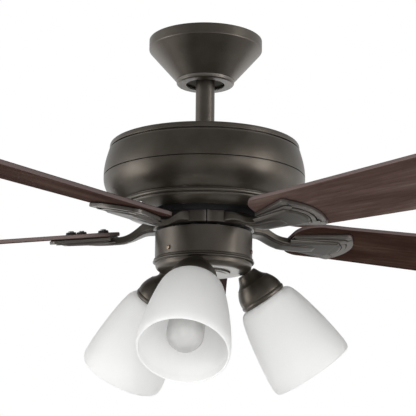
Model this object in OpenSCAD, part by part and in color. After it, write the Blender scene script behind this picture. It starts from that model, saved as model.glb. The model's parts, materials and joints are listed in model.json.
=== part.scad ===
// Ceiling fan with a three-lamp light kit.
// The origin is on the fan's axis at the ceiling plane, and +Z points up.
// Heights of the hanging parts are negative, and all sizes are in millimetres.

/* [Canopy and downrod] */
// Outer radius of the canopy at the ceiling
canopy_r = 80; // [76:0.5:84]
// Height of the canopy, without its trim ring
canopy_h = 59.2; // [58:0.1:60]
// Radius of the opening that the downrod passes through
rod_opening_r = 27; // [26:0.5:28]
// Outer diameter of the downrod
rod_od = 26.7; // [25:0.1:26.7]
// Radius of the hanger ball
ball_r = 24; // [22:0.5:24]

/* [Motor housing] */
// Radius of the housing at its seam
housing_r = 140; // [136:0.5:144]
// Radius of the turning motor case
motor_r = 92; // [86:1:96]
// Radius of the stator shaft
shaft_r = 9; // [8:0.5:9]

/* [Blades] */
// Radius of the blade tips, half of the fan's span
tip_r = 660; // [600:1:680]
// Half of a blade's width at its inner end
blade_root_w = 51.5; // [46:0.5:54]
// Half of a blade's width at its outer end
blade_tip_w = 74.5; // [60:0.5:80]
// Thickness of a blade
blade_t = 5.6; // [4:0.1:6]
// Pitch of the blades about their own length
blade_pitch = 12.15; // [10:0.05:14]
// Droop of the blades below level
blade_droop = 1.32; // [1:0.02:1.6]
// Direction of the first blade
blade_turn = 3; // [0:0.5:6]

/* [Switch housing and light kit] */
// Outer radius of the switch housing
switch_r = 67; // [66:0.1:68]
// Directions of the three lamps
lamp_turns = [17, 136.5, -99]; // [-180:0.5:180]
// Tilt of the lamps outward from straight down
lamp_tilt = 36.8; // [34:0.2:38]
// Distance of a lamp holder's rim centre from the fan's axis
lamp_reach = 88.5; // [87:0.5:90]
// Radius of a glass shade near its mouth
shade_r = 60.3; // [58:0.1:62]
// Length of a glass shade
shade_h = 119; // [112:1:124]
// Thickness of the glass
glass_t = 3.2; // [2.4:0.1:4]

/* [Hidden] */

$fn = 96;
// Overshoot of a cut beyond the face it opens
cut = 1;
// Radial clearance of a pin or screw in its own hole
fit = 0.05;

bronze = [0.25, 0.22, 0.20];
steel = [0.62, 0.62, 0.63];
walnut = [0.23, 0.13, 0.10];
frosted = [0.93, 0.93, 0.91];

// Canopy
wall = 1.2;
band_h = 14.5;
canopy_foot_r = 41;
ring_r = 40.6;
ring_h = 5.8;
canopy_screw_x = 34;
canopy_screw_r = 1.9;

// Hanger bracket and ball
plate_t = 2.3;
slot_x = 44.5;
slot_r = 2.8;
slot_len = 14;
wire_hole_x = 19;
wire_hole_r = 7;
ball_z = -24;
ball_gap = 0.3;
seat_r = 37;
seat_z = -38;
seat_t = 4;
leg_x = 34;
leg_w = 36;
pin_r = 3;

// Downrod and coupling
rod_r = rod_od / 2;
rod_wall = 2.9;
rod_top = -12;
rod_bottom = -147;
collar_r = 21;
collar_top = -128;
cover_z = -147;
skin = 1.6;
flange_r = 34;
flange_z = cover_z - skin;
flange_t = 6.5;
coupling_pin_z = -137;
shaft_bore = 5;
shaft_bottom = -290;

// Housing
lip_z = -154.6;
lip_bottom = -162.6;
upper_top = -165;
seam_z = -202;
seam_gap = 0.6;
bead_r = 117.6;
lower_rim_r = 94;
lower_rim_z = -257.2;
cover_screw_r = 28;

// Motor
case_top = -171;
case_seam = -209.6;
case_bottom = -249.4;
case_t = 2.6;
bearing_r = 17;
bearing_h = 7;
boss_r = 70;
boss_bottom = -259.6;
lug_r = 97;
lug_half = 6;
stator_z0 = -222;
stator_z1 = -198;
pole_count = 12;

// Blade irons
blade_count = 5;
iron_bottom = -276;
iron_inner_r = 44;
iron_half = 35.4;
iron_screw_r = 57;
iron_screw_turn = 18;
// Recess of an iron screw's head
recess_r = 4.4;
recess_h = 3;
tier_t = 6.2;
step_t = 1.6;
// The plate's middle panel is thickest at the arm and thins towards its nose
panel_low = -14.5;
panel_slope = 1.7;
// Height of the blades' centre line where it meets the fan's axis
blade_z = -271.1;
blade_root_r = 129;
root_corner = 36;
outer_hole = [186, 22];
inner_hole = [146, 0];
grommet_r = 7.5;
grommet_h = 3.6;

// Switch housing and light kit
plate_z = -279.2;
switch_top = -279.6;
switch_bottom = -318.6;
switch_wall = 1.4;
lamp_screw_turns = [-134.6, -14.6, 105.4];
lamp_screw_z = -307.7;
reverse_z = -288.5;
reverse_travel = 6;
bowl_top = -319.2;
bowl_bottom = -333.5;
cap_r = 37;
lamp_z = -366;
holder_r = 31.6;
// Radius of the bead round a lamp holder's rim
rim_r = 33.3;
// Where a holder's foot meets the bowl, and its threaded nipple inside
foot_r = 13.3;
foot_z = 44.2;
nipple_r = 5;
nipple_bore = 3;
nipple_end = 56;
fitter_hole_r = 21;
bulb_r = 24;
// Height of a bulb's widest part, measured from its lamp holder's rim
bulb_s = -88;

// Points of an arc from angle a0 to a1, with n steps
function arc(cx, cy, r, a0, a1, n) = [for (i = [0:n])
    let (a = a0 + (a1 - a0) * i / n) [cx + r * cos(a), cy + r * sin(a)]];

// Points of a cubic curve with n steps
function curve(p, n) = [for (i = [0:n]) let (t = i / n, s = 1 - t)
    s * s * s * p[0] + 3 * s * s * t * p[1] + 3 * s * t * t * p[2] + t * t * t * p[3]];

// The same points in the opposite order
function back(p) = [for (i = [len(p) - 1:-1:0]) p[i]];

// A curve moved inward and upward, for the inner face of a shell
function inset(p, dr, dz) = [for (q = p) [q[0] - dr, q[1] + dz]];

module tube(r_out, r_in, z0, z1) {
    translate([0, 0, z0])
        difference() {
            cylinder(h = z1 - z0, r = r_out);
            translate([0, 0, -cut])
                cylinder(h = z1 - z0 + 2 * cut, r = r_in);
        }
}

module rod_x(r, len) {
    rotate([0, 90, 0])
        cylinder(h = len, r = r, center = true);
}

// ---- Ceiling mount ----

module bracket_slot(x) {
    for (s = [-1, 1])
        translate([x + s * (slot_len / 2 - slot_r), 0, -plate_t - cut])
            cylinder(h = plate_t + 2 * cut, r = slot_r);
    translate([x - slot_len / 2 + slot_r, -slot_r, -plate_t - cut])
        cube([slot_len - 2 * slot_r, 2 * slot_r, plate_t + 2 * cut]);
}

module hanger_bracket() {
    color(steel)
        difference() {
            union() {
                translate([-56, -21, -plate_t])
                    cube([112, 42, plate_t]);
                for (s = [-1, 1])
                    translate([s * leg_x - plate_t / 2, -leg_w / 2, seat_z + seat_t - cut])
                        cube([plate_t, leg_w, -seat_z - seat_t]);
                translate([0, 0, seat_z])
                    cylinder(h = seat_t, r = seat_r);
            }
            for (s = [-1, 1])
                bracket_slot(s * slot_x);
            for (s = [-1, 1])
                translate([s * wire_hole_x, 0, -plate_t - cut])
                    cylinder(h = plate_t + 2 * cut, r = wire_hole_r);
            translate([0, 0, ball_z])
                sphere(r = ball_r + ball_gap);
            translate([-rod_r - 1, 0, seat_z - cut])
                cube([2 * rod_r + 2, seat_r + cut, seat_t + 2 * cut]);
            for (s = [-1, 1])
                translate([s * canopy_screw_x, 0, seat_z - cut])
                    cylinder(h = seat_t + 4, r = canopy_screw_r + fit);
        }
}

canopy_skin = concat(
    arc(canopy_r - 1, -1, 1, 90, 0, 4),
    arc(canopy_r - 2.5, -band_h + 1, 2.5, 0, -40, 5),
    [[canopy_foot_r + 0.6, -canopy_h + 1]],
    [[canopy_foot_r, -canopy_h]]
);
canopy_inner = [
    [canopy_foot_r - wall, -canopy_h + wall],
    [canopy_r - 2.5 - wall, -band_h],
    [canopy_r - wall, -band_h + 1.6],
    [canopy_r - wall, 0]
];

module canopy() {
    color(bronze)
        difference() {
            rotate_extrude()
                polygon(concat(
                    canopy_skin,
                    [[rod_opening_r + 1, -canopy_h], [rod_opening_r + 1, -canopy_h + wall]],
                    canopy_inner
                ));
            for (s = [-1, 1])
                translate([s * canopy_screw_x, 0, -canopy_h - cut])
                    cylinder(h = 4, r = canopy_screw_r + fit);
        }
}

module canopy_screws() {
    color(steel)
        for (s = [-1, 1])
            translate([s * canopy_screw_x, 0, 0]) {
                translate([0, 0, -canopy_h - 2])
                    cylinder(h = 2, r = 3.6);
                translate([0, 0, -canopy_h])
                    cylinder(h = canopy_h + seat_z + seat_t, r = canopy_screw_r);
            }
}

module canopy_trim_ring() {
    top = -canopy_h;
    low = top - ring_h;
    color(bronze)
        rotate_extrude()
            polygon(concat(
                [[ring_r, top]],
                arc(ring_r - 4, low + 4, 4, 0, -90, 6),
                [[rod_opening_r, low], [rod_opening_r, low + wall]],
                back(arc(ring_r - 4, low + 4, 4 - wall, 0, -90, 6)),
                [[ring_r - wall, top]]
            ));
}

// ---- Hanging frame ----

module hanger_ball() {
    color([0.1, 0.1, 0.1])
        difference() {
            translate([0, 0, ball_z])
                sphere(r = ball_r);
            translate([0, 0, ball_z + 14])
                cylinder(h = ball_r, r = ball_r);
            translate([0, 0, ball_z - 16 - ball_r])
                cylinder(h = ball_r, r = ball_r);
            translate([0, 0, ball_z - ball_r - cut])
                cylinder(h = 2 * ball_r + 2 * cut, r = rod_r + fit);
            translate([0, 0, ball_z])
                rod_x(pin_r + fit, 2 * ball_r + 2 * cut);
        }
}

module ball_pin() {
    color(steel)
        translate([0, 0, ball_z])
            rod_x(pin_r, 2 * ball_r - 4);
}

module downrod() {
    color(bronze)
        difference() {
            tube(rod_r, rod_r - rod_wall, rod_bottom, rod_top);
            for (z = [ball_z, coupling_pin_z])
                translate([0, 0, z])
                    rod_x(pin_r + fit, rod_od + 2 * cut);
        }
}

module motor_coupling() {
    color(bronze)
        difference() {
            union() {
                translate([0, 0, flange_z - flange_t])
                    cylinder(h = flange_t, r = flange_r);
                translate([0, 0, flange_z])
                    cylinder(h = collar_top - flange_z - 2, r = collar_r);
                translate([0, 0, collar_top - 2])
                    cylinder(h = 2, r1 = collar_r, r2 = collar_r - 2);
            }
            translate([0, 0, rod_bottom])
                cylinder(h = 30, r = rod_r + fit);
            translate([0, 0, flange_z - flange_t - cut])
                cylinder(h = 20, r = shaft_r);
            translate([0, 0, coupling_pin_z])
                rod_x(pin_r + fit, 2 * collar_r + 2 * cut);
            for (s = [-1, 1])
                translate([0, s * rod_r, coupling_pin_z + 3])
                    rotate([-s * 90, 0, 0])
                        cylinder(h = 12, r = 2.5 + fit);
            for (i = [0:2])
                rotate([0, 0, 30 + 120 * i])
                    translate([cover_screw_r, 0, flange_z - 5])
                        cylinder(h = 8, r = 2 + fit);
        }
}

module coupling_pin() {
    color(steel)
        translate([0, 0, coupling_pin_z]) {
            rod_x(pin_r, 2 * collar_r + 10);
            translate([-collar_r - 6, 0, 0])
                rod_x(pin_r + 2, 2);
        }
}

module coupling_clip() {
    color(steel)
        translate([collar_r + 3, 0, coupling_pin_z])
            rotate([0, 90, 0])
                rotate_extrude()
                    translate([pin_r + 0.9, 0, 0])
                        circle(r = 0.8, $fn = 24);
}

module coupling_screws() {
    color(steel)
        for (s = [-1, 1])
            translate([0, s * (rod_r + fit), coupling_pin_z + 3])
                rotate([-s * 90, 0, 0])
                    difference() {
                        cylinder(h = 10, r = 2.5);
                        translate([0, 0, 8])
                            cylinder(h = 3, r = 1.2, $fn = 6);
                    }
}

// Upper face of the housing's top cover, from its hole to the lip and down to the spigot
cover_skin = concat(
    [[collar_r + 1, cover_z]],
    curve([[44, cover_z], [80, cover_z - 0.5], [110, lip_z + 2.5], [127, lip_z]], 10),
    curve([[128.5, lip_z], [131, lip_z - 0.3], [132, lip_z - 1.5], [132.2, lip_z - 3]], 5),
    [[132.6, lip_bottom + 0.6], [132, lip_bottom], [128.4, lip_bottom], [128.4, upper_top - 3]]
);

module housing_top_cover() {
    color(bronze)
        difference() {
            rotate_extrude()
                polygon(concat(
                    cover_skin,
                    [[128.4 - skin, upper_top - 3], [128.4 - skin, lip_bottom + 2]],
                    back(curve([[44, cover_z - skin], [80, cover_z - skin - 0.5],
                        [105, lip_z + 1], [120, lip_z - skin - 1]], 10)),
                    [[collar_r + 1, cover_z - skin]]
                ));
            for (i = [0:2])
                rotate([0, 0, 30 + 120 * i])
                    translate([cover_screw_r, 0, cover_z - 4])
                        cylinder(h = 8, r = 2 + fit);
        }
}

upper_outline = curve([
    [133.2, upper_top],
    [136.5, upper_top - 11],
    [housing_r, upper_top - 21],
    [housing_r, seam_z + seam_gap]
], 12);

module housing_upper_shell() {
    color(bronze)
        rotate_extrude()
            polygon(concat(
                [[128.7, upper_top], [132.4, upper_top]],
                [for (i = [0:12]) upper_outline[i] - [0, i == 0 ? 0.8 : 0]],
                [for (i = [12:-1:1]) upper_outline[i] - [skin, 0]],
                [[131.6, upper_top - 1.6], [130.3, upper_top - 1.6]],
                [[130.3, upper_top - 3], [128.7, upper_top - 3]]
            ));
}

belly = curve([
    [housing_r, seam_z - seam_gap],
    [housing_r, seam_z - 13],
    [134.5, seam_z - 25],
    [bead_r, -238.4]
], 12);
cove = curve([
    [116.2, -247.2],
    [113, -252.5],
    [104, -256],
    [lower_rim_r + 1, lower_rim_z]
], 10);

module housing_lower_shell() {
    color(bronze)
        rotate_extrude()
            polygon(concat(
                [[housing_r - skin - 2.4, seam_z + 5], [housing_r - skin - 0.8, seam_z + 5]],
                [[housing_r - skin - 0.8, seam_z - seam_gap]],
                belly,
                [[bead_r - 1.6, -239.2]],
                arc(bead_r - 2.4, -242.6, 2.6, 70, -70, 6),
                [[bead_r - 3.4, -245.4], [bead_r - 3.4, -246.6]],
                cove,
                [[lower_rim_r + 1 - skin, lower_rim_z]],
                back(inset([for (i = [2:10]) cove[i]], skin, skin)),
                [[bead_r - 4.6, -239]],
                back(inset(belly, skin + 2.4, 0))
            ));
}

module housing_screws() {
    color(steel)
        for (i = [0:2])
            rotate([0, 0, 30 + 120 * i])
                translate([cover_screw_r, 0, 0]) {
                    translate([0, 0, cover_z])
                        cylinder(h = 2.2, r = 3.8);
                    translate([0, 0, flange_z - 4.5])
                        cylinder(h = cover_z - flange_z + 4.5, r = 2);
                }
}

// ---- Motor ----

module stator_shaft() {
    color(steel)
        tube(shaft_r, shaft_bore, shaft_bottom, rod_bottom);
}

module stator_core() {
    color(steel)
        difference() {
            tube(66, shaft_r, stator_z0, stator_z1);
            for (i = [0:pole_count - 1])
                rotate([0, 0, 360 / pole_count * i])
                    translate([34, -5, stator_z0 - cut])
                        cube([26, 10, stator_z1 - stator_z0 + 2 * cut]);
        }
}

module stator_windings() {
    color([0.7, 0.38, 0.2])
        for (i = [0:pole_count - 1])
            rotate([0, 0, 360 / pole_count * (i + 0.5)])
                for (z = [stator_z0 - 7, stator_z1])
                    translate([36, -6, z])
                        cube([22, 12, 7]);
}

module rotor_ring() {
    color(steel)
        tube(motor_r - case_t - 0.2, 72, -228, -194);
}

module case_lugs(z0, z1) {
    for (i = [0:3])
        rotate([0, 0, 45 + 90 * i])
            translate([lug_r - 1, 0, z0])
                cylinder(h = z1 - z0, r = lug_half);
}

module case_screw_holes(z0, z1) {
    for (i = [0:3])
        rotate([0, 0, 45 + 90 * i])
            translate([lug_r, 0, z0 - cut])
                cylinder(h = z1 - z0 + 2 * cut, r = 2 + fit);
}

module motor_case_upper() {
    color([0.35, 0.35, 0.36])
        difference() {
            union() {
                translate([0, 0, case_seam])
                    cylinder(h = case_top - case_seam, r = motor_r);
                case_lugs(case_seam, case_seam + 3);
            }
            translate([0, 0, case_seam - cut])
                cylinder(h = case_top - case_seam - case_t + cut, r = motor_r - case_t);
            translate([0, 0, case_top - bearing_h])
                cylinder(h = bearing_h + cut, r = bearing_r);
            case_screw_holes(case_seam, case_seam + 3);
        }
}

module motor_case_lower() {
    color([0.35, 0.35, 0.36])
        difference() {
            union() {
                translate([0, 0, case_bottom])
                    cylinder(h = case_seam - case_bottom, r = motor_r);
                translate([0, 0, boss_bottom])
                    cylinder(h = case_bottom - boss_bottom, r = boss_r);
                case_lugs(case_seam - 3, case_seam);
            }
            translate([0, 0, case_bottom + case_t])
                cylinder(h = 60, r = motor_r - case_t);
            translate([0, 0, case_bottom - cut])
                cylinder(h = 20, r = bearing_r);
            translate([0, 0, boss_bottom - cut])
                cylinder(h = case_bottom - boss_bottom, r = 30);
            case_screw_holes(case_seam - 3, case_seam);
            for (i = [0:blade_count - 1], s = [-1, 1])
                rotate([0, 0, iron_turn(i) + s * iron_screw_turn])
                    translate([iron_screw_r, 0, boss_bottom - cut])
                        cylinder(h = 8 + cut, r = 2.4 + fit);
        }
}

module motor_case_screws() {
    color(steel)
        for (i = [0:3])
            rotate([0, 0, 45 + 90 * i])
                translate([lug_r, 0, 0]) {
                    translate([0, 0, case_seam - 3])
                        cylinder(h = 6, r = 2);
                    translate([0, 0, case_seam + 3])
                        cylinder(h = 2.4, r = 3.6);
                    translate([0, 0, case_seam - 5.4])
                        cylinder(h = 2.4, r = 3.6);
                }
}

module upper_bearing() {
    color(steel)
        tube(bearing_r, shaft_r + fit, case_top - bearing_h, case_top);
}

module lower_bearing() {
    color(steel)
        tube(bearing_r, shaft_r + fit, case_bottom, case_bottom + bearing_h);
}

// ---- Blade irons and blades ----

function iron_turn(i) = blade_turn + 18 + 360 / blade_count * i;

module in_blade_frame() {
    translate([0, 0, blade_z])
        rotate([-blade_pitch, blade_droop, 0])
            children();
}

// One flat tier of the iron's plate: a shield with straight flanks and a bowed front
module plate_tier(r0, w0, r1, w1, corner, front, bow, top, t) {
    flank = atan2(w1 - w0, r1 - r0);
    nose = curve([[front - bow, w1 - corner], [front - bow * 0.35, w1 * 0.55],
        [front, w1 * 0.3], [front, 0]], 8);
    side = concat(
        [[r0, w0]],
        arc(r1, w1 - corner, corner, 90 + flank, 12, 8),
        nose
    );
    translate([0, 0, top - t])
        linear_extrude(height = t)
            polygon(concat(side, back([for (p = side) [p[0], -p[1]]])));
}

// The plate's middle panel, cut to a slope underneath
module middle_panel() {
    top = -blade_t / 2 - tier_t;
    difference() {
        plate_tier(126, 14, 190, 21.5, 6, 205.5, 8, top, 9);
        translate([130, 0, panel_low])
            rotate([0, -panel_slope, 0])
                translate([-20, -40, -10])
                    cube([140, 80, 10]);
    }
}

// The cast arm's sections from the hub to the plate: radius, height, width, thickness and roll
arm_path = [
    [66, -267.8, 40, 16.2, 0],
    [78, -268.9, 37, 14.6, 1],
    [90, -273.2, 31, 10, 4],
    [104, -280.1, 27, 9.2, 9],
    [118, -283.5, 26, 10, blade_pitch],
    [150, -285, 27, 8, blade_pitch]
];

module arm_section(a) {
    translate([a[0], 0, a[1]])
        rotate([-a[4], 0, 0])
            cube([0.6, a[2], a[3]], center = true);
}

module iron_root() {
    intersection() {
        tube(boss_r, iron_inner_r, iron_bottom, boss_bottom);
        translate([0, 0, iron_bottom - cut])
            linear_extrude(height = 20)
                polygon([
                    [0, 0],
                    [100 * cos(iron_half), -100 * sin(iron_half)],
                    [140, 0],
                    [100 * cos(iron_half), 100 * sin(iron_half)]
                ]);
    }
}

module blade_iron(i) {
    color(bronze)
        rotate([0, 0, iron_turn(i)])
            difference() {
                union() {
                    iron_root();
                    for (j = [0:len(arm_path) - 2])
                        hull() {
                            arm_section(arm_path[j]);
                            arm_section(arm_path[j + 1]);
                        }
                    in_blade_frame() {
                        plate_tier(130, 19, 203, 41, 8, 223.5, 12, -blade_t / 2, tier_t);
                        plate_tier(128, 17, 201, 30.5, 7, 213.5, 10, -blade_t / 2 - tier_t, step_t);
                        middle_panel();
                    }
                }
                in_blade_frame()
                    for (p = [outer_hole, [outer_hole[0], -outer_hole[1]], inner_hole])
                        translate([p[0], p[1], -blade_t / 2 - 3])
                            cylinder(h = 3 + cut, r = 2.4 + fit);
                for (s = [-1, 1])
                    rotate([0, 0, s * iron_screw_turn])
                        translate([iron_screw_r, 0, iron_bottom - cut]) {
                            cylinder(h = 18 + cut, r = 2.4 + fit);
                            cylinder(h = recess_h + cut, r = recess_r);
                        }
            }
}

blade_half = concat(
    arc(blade_root_r + root_corner, blade_root_w + 0.5 - root_corner, root_corner, 180, 97, 10),
    curve([[200, blade_root_w + 0.6], [330, blade_root_w + 7],
        [500, blade_tip_w - 7.5], [tip_r - 26, blade_tip_w]], 10),
    arc(tip_r - 24, blade_tip_w - 24, 24, 88, 4, 8),
    [[tip_r + 1.6, 0]]
);

module blade(i) {
    color(walnut)
        rotate([0, 0, iron_turn(i)])
            in_blade_frame()
                difference() {
                    translate([0, 0, -blade_t / 2])
                        linear_extrude(height = blade_t)
                            polygon(concat(blade_half, back([for (p = blade_half) [p[0], -p[1]]])));
                    for (p = [outer_hole, [outer_hole[0], -outer_hole[1]], inner_hole])
                        translate([p[0], p[1], -blade_t])
                            cylinder(h = 2 * blade_t, r = 2.6);
                }
}

module at_blade_holes() {
    for (i = [0:blade_count - 1])
        rotate([0, 0, iron_turn(i)])
            in_blade_frame()
                for (p = [outer_hole, [outer_hole[0], -outer_hole[1]], inner_hole])
                    translate([p[0], p[1], blade_t / 2])
                        children();
}

module blade_grommets() {
    color([0.06, 0.06, 0.06])
        at_blade_holes()
            rotate_extrude()
                polygon(concat(
                    [[2.6, 0], [grommet_r, 0]],
                    arc(grommet_r - 1.2, grommet_h - 1.2, 1.2, 0, 90, 4),
                    [[2.6, grommet_h]]
                ));
}

module blade_screws() {
    color(steel)
        at_blade_holes() {
            translate([0, 0, grommet_h])
                cylinder(h = 1.8, r1 = 4.2, r2 = 3.2);
            translate([0, 0, -blade_t - 2.7])
                cylinder(h = blade_t + 2.7 + grommet_h, r = 2.4);
        }
}

module iron_screws() {
    color(steel)
        for (i = [0:blade_count - 1], s = [-1, 1])
            rotate([0, 0, iron_turn(i) + s * iron_screw_turn])
                translate([iron_screw_r, 0, 0]) {
                    translate([0, 0, iron_bottom + recess_h - 2.4])
                        cylinder(h = 2.4, r = 4);
                    translate([0, 0, iron_bottom + recess_h])
                        cylinder(h = boss_bottom - iron_bottom - recess_h + 7.5, r = 2.4);
                }
}

// ---- Switch housing ----

module switch_housing_plate() {
    color(steel)
        tube(switch_r - switch_wall - 0.4, shaft_r, plate_z - 2, plate_z);
}

module shaft_nut() {
    color(steel)
        difference() {
            translate([0, 0, plate_z - 8])
                cylinder(h = 6, r = 14, $fn = 6);
            translate([0, 0, plate_z - 10])
                cylinder(h = 12, r = shaft_r);
        }
}

module switch_housing() {
    top = switch_top;
    r = switch_r;
    w = switch_wall;
    color(bronze)
        difference() {
            rotate_extrude()
                polygon(concat(
                    [[r - w, top]],
                    arc(r - 1, top - 1, 1, 90, 0, 4),
                    [[r, switch_bottom + 3.4], [r - 0.6, switch_bottom + 3.1]],
                    arc(r + 0.4, switch_bottom + 1.5, 1.5, 70, -70, 6),
                    [[r - 0.6, switch_bottom], [r - w, switch_bottom]],
                    [[r - w, plate_z - 3.6], [r - 17, plate_z - 3.6]],
                    [[r - 17, plate_z - 2], [r - w, plate_z - 2]]
                ));
            for (a = lamp_screw_turns)
                rotate([0, 0, a])
                    translate([r, 0, lamp_screw_z])
                        rod_x(2 + fit, 8);
            translate([-2.5, r - 4, reverse_z - reverse_travel - 2.5])
                cube([5, 8, reverse_travel + 5]);
        }
}

module switch_housing_screws() {
    color(steel)
        for (a = lamp_screw_turns)
            rotate([0, 0, a])
                translate([switch_r, 0, lamp_screw_z]) {
                    translate([-1.8, 0, 0])
                        rod_x(2, 7.6);
                    translate([1, 0, 0])
                        rod_x(3.1, 2);
                }
}

module reverse_switch_body() {
    color([0.08, 0.08, 0.08])
        translate([-7, switch_r - switch_wall - 10.4, reverse_z - reverse_travel - 4])
            cube([14, 10, reverse_travel + 8]);
}

module reverse_switch_slider() {
    color([0.08, 0.08, 0.08])
        translate([-2, switch_r - switch_wall - 0.2, reverse_z - 2])
            cube([4, 4.6, 4]);
}

module capacitor() {
    color([0.15, 0.15, 0.16])
        translate([-45, -14, plate_z - 26])
            cube([18, 28, 22]);
}

// ---- Light kit ----

module at_lamp(n) {
    rotate([0, 0, lamp_turns[n]])
        translate([lamp_reach, 0, lamp_z])
            rotate([0, -lamp_tilt, 0])
                children();
}

bowl_side = curve([
    [switch_r - 0.9, bowl_top - 6],
    [switch_r - 1.5, bowl_top - 11.5],
    [60, bowl_bottom + 0.2],
    [53, bowl_bottom]
], 8);

module light_kit_bowl() {
    collar_out = switch_r - switch_wall - 0.3;
    flange = switch_r + 2.8;
    color(bronze)
        difference() {
            rotate_extrude()
                polygon(concat(
                    [[collar_out - 1.4, lamp_screw_z + 6], [collar_out, lamp_screw_z + 6]],
                    [[collar_out, bowl_top]],
                    arc(flange - 1, bowl_top - 1, 1, 90, -60, 6),
                    [[switch_r - 0.7, bowl_top - 3.2]],
                    bowl_side,
                    [[30, bowl_bottom], [30, bowl_bottom + 1.4], [52, bowl_bottom + 1.4]],
                    back(inset(bowl_side, 1.5, 1.4)),
                    [[collar_out - 1.4, bowl_top - 3.6]]
                ));
            for (a = lamp_screw_turns)
                rotate([0, 0, a])
                    translate([switch_r - 3, 0, lamp_screw_z])
                        rod_x(2 + fit, 8);
            for (n = [0:2])
                at_lamp(n) {
                    translate([0, 0, foot_z - 8])
                        cylinder(h = 8, r = foot_r + 0.2);
                    cylinder(h = nipple_end + cut, r = nipple_r + fit);
                }
        }
}

module bottom_cap() {
    color(bronze)
        rotate_extrude()
            polygon([
                [0, bowl_bottom - 3],
                [31, bowl_bottom - 3],
                [32.5, bowl_bottom - 2.2],
                [cap_r - 1, bowl_bottom - 2],
                [cap_r, bowl_bottom - 1],
                [cap_r, bowl_bottom],
                [29.9, bowl_bottom],
                [29.9, bowl_bottom + 4],
                [28.4, bowl_bottom + 4],
                [28.4, bowl_bottom - 1.4],
                [0, bowl_bottom - 1.4]
            ]);
}

// Outer face of a lamp holder, from its rim up to its neck
holder_skin = concat(
    [[holder_r, 0], [holder_r + 0.8, 0.6], [rim_r, 3.6], [rim_r - 0.6, 5.9], [holder_r + 0.4, 6.4]],
    curve([[holder_r + 0.5, 7], [holder_r + 0.5, 15], [28.6, 22], [24.3, 28]], 10),
    [[24.2, 28.6], [22.9, 29.3]],
    curve([[22.6, 29.8], [18.8, 32.6], [16.6, 36.2], [foot_r + 0.7, 42.6]], 6),
    [[foot_r, 43.2], [foot_r, foot_z], [nipple_r, foot_z], [nipple_r, nipple_end]]
);

module lamp_holder(n) {
    color(bronze)
        at_lamp(n)
            rotate_extrude()
                polygon(concat(
                    holder_skin,
                    [[nipple_bore, nipple_end], [nipple_bore, 34.5], [12.5, 34.5], [20.3, 25.4]],
                    back(curve([[holder_r - 2.5, 1], [holder_r - 2, 12], [25.6, 20], [21.6, 24.4]], 10)),
                    [[holder_r - 2.5, 0]]
                ));
}

module lamp_socket(n) {
    color([0.9, 0.88, 0.83])
        at_lamp(n)
            difference() {
                union() {
                    translate([0, 0, -10])
                        cylinder(h = 38, r = 16);
                    translate([0, 0, 28])
                        cylinder(h = 6.5, r = 9);
                }
                translate([0, 0, -11])
                    cylinder(h = 35, r = 13.3);
            }
}

module shade_rings() {
    color([0.9, 0.88, 0.83])
        for (n = [0:2])
            at_lamp(n)
                tube(25, 16, -glass_t - 3.6, -glass_t - 0.6);
}

shade_shoulder = curve([[31, -0.5], [37, -0.5], [40.2, -5.2], [42.4, -10.5]], 8);
shade_side = curve([[42.4, -10.5], [49.5, -30], [58.5, -78], [shade_r, -shade_h + 11]], 14);
shade_mouth = curve([[shade_r, -shade_h + 10], [shade_r, -shade_h + 4], [shade_r - 2, -shade_h],
    [shade_r - 3.6, -shade_h]], 5);

module glass_shade(n) {
    color(frosted)
        at_lamp(n)
            rotate_extrude()
                polygon(concat(
                    [[fitter_hole_r, -0.5]],
                    shade_shoulder,
                    shade_side,
                    shade_mouth,
                    [[shade_r - 3.8, -shade_h + 0.6]],
                    back(inset(shade_side, glass_t, 0)),
                    back(curve([[30, -0.5 - glass_t], [35, -0.5 - glass_t], [37.4, -7.5], [39, -10]], 6)),
                    [[fitter_hole_r, -0.5 - glass_t]]
                ));
}

bulb_skin = concat(
    [[0, 20], [6, 20], [6, 18], [13, 17], [13, -10.5]],
    curve([[13.6, -11], [14.5, -22], [bulb_r, -34], [bulb_r, bulb_s]], 10),
    curve([[bulb_r, bulb_s - 1], [bulb_r, bulb_s - 14], [13, bulb_s - 24], [0, bulb_s - 24]], 8)
);

module bulb(n) {
    color([0.97, 0.96, 0.93])
        at_lamp(n)
            rotate_extrude()
                polygon(bulb_skin);
}

hanger_bracket();
canopy();
canopy_screws();
canopy_trim_ring();
hanger_ball();
ball_pin();
downrod();
motor_coupling();
coupling_pin();
coupling_clip();
coupling_screws();
housing_top_cover();
housing_upper_shell();
housing_lower_shell();
housing_screws();
stator_shaft();
stator_core();
stator_windings();
rotor_ring();
motor_case_upper();
motor_case_lower();
motor_case_screws();
upper_bearing();
lower_bearing();
blade_iron(0);  // blade_iron_1
blade_iron(1);  // blade_iron_2
blade_iron(2);  // blade_iron_3
blade_iron(3);  // blade_iron_4
blade_iron(4);  // blade_iron_5
blade(0);  // blade_1
blade(1);  // blade_2
blade(2);  // blade_3
blade(3);  // blade_4
blade(4);  // blade_5
blade_grommets();
blade_screws();
iron_screws();
switch_housing_plate();
shaft_nut();
switch_housing();
switch_housing_screws();
reverse_switch_body();
reverse_switch_slider();
capacitor();
light_kit_bowl();
bottom_cap();
lamp_holder(0);  // lamp_holder_1
lamp_holder(1);  // lamp_holder_2
lamp_holder(2);  // lamp_holder_3
lamp_socket(0);  // lamp_socket_1
lamp_socket(1);  // lamp_socket_2
lamp_socket(2);  // lamp_socket_3
shade_rings();
glass_shade(0);  // glass_shade_1
glass_shade(1);  // glass_shade_2
glass_shade(2);  // glass_shade_3
bulb(0);  // bulb_1
bulb(1);  // bulb_2
bulb(2);  // bulb_3
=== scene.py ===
"""A five-blade ceiling fan with a three-lamp light kit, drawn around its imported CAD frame.

Sizes in the profiles are millimetres, turned into metres where a mesh is made.
"""

import json
import math

import bmesh
import bpy
from mathutils import Matrix, Vector


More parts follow.
